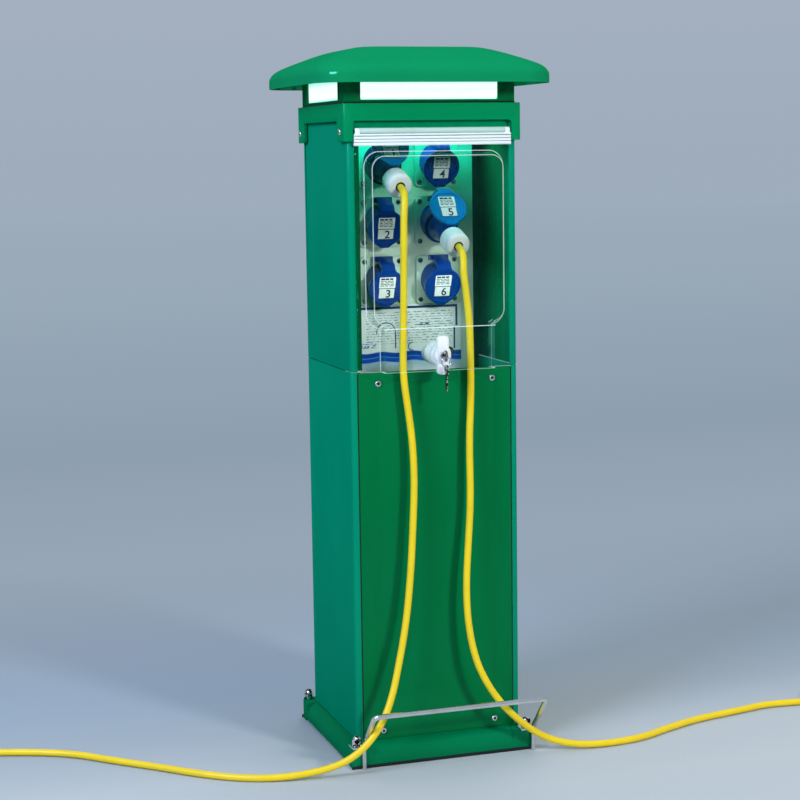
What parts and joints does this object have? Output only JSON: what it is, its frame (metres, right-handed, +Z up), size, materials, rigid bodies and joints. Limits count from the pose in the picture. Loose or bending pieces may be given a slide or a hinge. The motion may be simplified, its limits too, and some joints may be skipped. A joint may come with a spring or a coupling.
{
  "type": "camper service bollard",
  "caption": "Green service bollard with a hooded lamp, a clear lift-up door over angled blue sockets and two yellow leads.",
  "frame": {"origin": "centre of the four anchor holes, on the ground plane and on the column's upright axis", "axes": "+Z up, -Y towards the front with the door, +X to the right seen from the front"},
  "size_m": [1.6893, 0.5188, 1.0597],
  "materials": {
    "green paint": "semi-gloss",
    "hood green": "gloss",
    "galvanised steel": "satin",
    "steel trim": "satin",
    "gasket rubber": "matt",
    "lamp diffuser": "satin, translucent",
    "lamp tube": "frosted",
    "lamp tray": "matt",
    "socket plate": "satin",
    "printed card": "matt",
    "socket blue": "gloss",
    "insert blue": "matt",
    "plug white": "satin",
    "cord yellow": "satin",
    "clear door": "gloss, clear",
    "door rail": "satin",
    "lock white": "satin",
    "breaker grey": "matt"
  },
  "bodies": {
    "bollard": {"base_plinth": "green paint", "column_lower_left": "green paint", "column_lower_right": "green paint", "column_lower_rear": "green paint", "front_panel": "green paint", "column_upper_left": "green paint", "column_upper_right": "green paint", "column_upper_rear": "green paint", "column_header": "green paint", "collar": "green paint", "lamp_frame": "green paint", "compartment_floor": "green paint", "hinge_rail_fixed": "door rail", "hood": "hood green", "anchor_nuts": "galvanised steel", "hoop": "galvanised steel", "din_rail": "galvanised steel", "panel_screws": "steel trim", "hinge_pin": "steel trim", "lid_pins": "steel trim", "collar_gasket": "gasket rubber", "lamp_diffuser": "lamp diffuser", "lamp_tubes": "lamp tube", "lamp_tray": "lamp tray", "socket_backplate": "socket plate", "instruction_card": "printed card", "socket_housing_1": "socket blue", "socket_housing_2": "socket blue", "socket_housing_3": "socket blue", "socket_housing_4": "socket blue", "socket_housing_5": "socket blue", "socket_housing_6": "socket blue", "plug_left_body": "socket blue", "plug_right_body": "socket blue", "connector_left": "socket blue", "connector_right": "socket blue", "socket_inserts": "insert blue", "plug_left_cap": "plug white", "plug_right_cap": "plug white", "cord_left": "cord yellow", "cord_right": "cord yellow", "coil_left": "cord yellow", "coil_right": "cord yellow", "circuit_breakers": "breaker grey", "terminal_block": "breaker grey"},
    "door": {"door_panel": "clear door", "hinge_rail_moving": "door rail", "lock_body": "lock white"},
    "lock_handle": {"lock_handle": "lock white", "lock_cam": "steel trim"},
    "lock_key": {"lock_keys": "steel trim", "key_ring": "steel trim"},
    "lid_1": {"socket_lid_1": "socket blue"},
    "lid_2": {"socket_lid_2": "socket blue"},
    "lid_3": {"socket_lid_3": "socket blue"},
    "lid_4": {"socket_lid_4": "socket blue"},
    "lid_5": {"socket_lid_5": "socket blue"},
    "lid_6": {"socket_lid_6": "socket blue"}
  },
  "joints": [
    {"name": "door_hinge", "type": "hinge", "parent": "bollard", "child": "door", "pos_m": [0, -0.1205, 0.9372], "axis": [-1, 0, 0], "range_deg": [0, 95]},
    {"name": "lock_turn", "type": "hinge", "parent": "door", "child": "lock_handle", "pos_m": [0, -0.15, 0.612], "axis": [0, 1, 0], "range_deg": [0, 90]},
    {"name": "key_turn", "type": "hinge", "parent": "lock_handle", "child": "lock_key", "pos_m": [0, -0.158, 0.612], "axis": [0, 1, 0], "range_deg": [0, 90]},
    {"name": "lid_1_hinge", "type": "hinge", "parent": "bollard", "child": "lid_1", "pos_m": [-0.0445, -0.013, 0.925], "axis": [-1, 0, 0], "range_deg": [0, 52], "stiffness_Nm_per_rad": 0.03, "springref_deg": -68.75},
    {"name": "lid_2_hinge", "type": "hinge", "parent": "bollard", "child": "lid_2", "pos_m": [-0.0445, -0.013, 0.836], "axis": [-1, 0, 0], "range_deg": [0, 75], "stiffness_Nm_per_rad": 0.03, "springref_deg": -20.05},
    {"name": "lid_3_hinge", "type": "hinge", "parent": "bollard", "child": "lid_3", "pos_m": [-0.0445, -0.013, 0.747], "axis": [-1, 0, 0], "range_deg": [0, 73], "stiffness_Nm_per_rad": 0.03, "springref_deg": -20.05},
    {"name": "lid_4_hinge", "type": "hinge", "parent": "bollard", "child": "lid_4", "pos_m": [0.0445, -0.013, 0.925], "axis": [-1, 0, 0], "range_deg": [0, 105], "stiffness_Nm_per_rad": 0.03, "springref_deg": -20.05},
    {"name": "lid_5_hinge", "type": "hinge", "parent": "bollard", "child": "lid_5", "pos_m": [0.0445, -0.013, 0.836], "axis": [-1, 0, 0], "range_deg": [0, 20], "stiffness_Nm_per_rad": 0.03, "springref_deg": -68.75},
    {"name": "lid_6_hinge", "type": "hinge", "parent": "bollard", "child": "lid_6", "pos_m": [0.0445, -0.013, 0.747], "axis": [-1, 0, 0], "range_deg": [0, 75], "stiffness_Nm_per_rad": 0.03, "springref_deg": -20.05}
  ]
}
